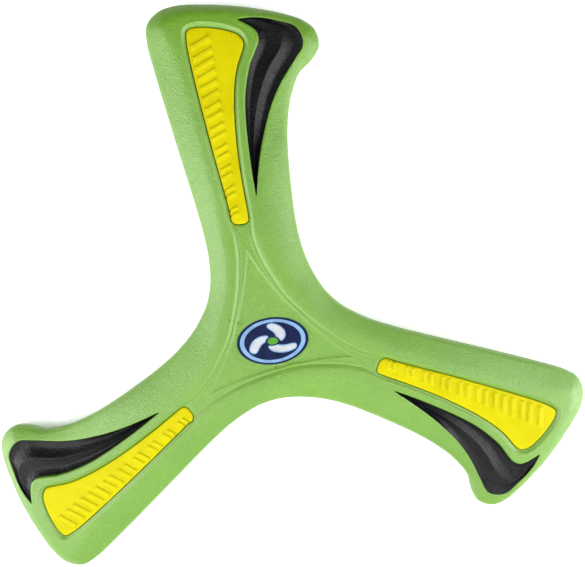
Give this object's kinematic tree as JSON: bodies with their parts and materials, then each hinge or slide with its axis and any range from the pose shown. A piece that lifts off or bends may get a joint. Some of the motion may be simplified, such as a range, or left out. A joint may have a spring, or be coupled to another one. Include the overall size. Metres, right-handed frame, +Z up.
{
  "type": "boomerang",
  "caption": "Soft foam boomerang with hooked blades round a hub, inlaid plates along the blades, scooped black tips and an oval hub emblem.",
  "frame": {"origin": "on the hub axis at the flat underside", "axes": "+Z up from the underside through the hub; +Y from the hub along blade 1; +X to the right of blade 1 seen from above"},
  "size_m": [0.277, 0.2615, 0.0145],
  "materials": {
    "foam_green": "satin moulded foam skin",
    "plate_yellow": "satin soft plastic",
    "scoop_black": "fine leather-like grain",
    "emblem_film": "printed film, navy, pale blue and white"
  },
  "bodies": {
    "root": {"foam_body": "foam_green", "inlay_plate_1": "plate_yellow", "inlay_plate_2": "plate_yellow", "inlay_plate_3": "plate_yellow", "scoop_insert_1": "scoop_black", "scoop_insert_2": "scoop_black", "scoop_insert_3": "scoop_black", "hub_emblem": "emblem_film"}
  },
  "joints": []
}
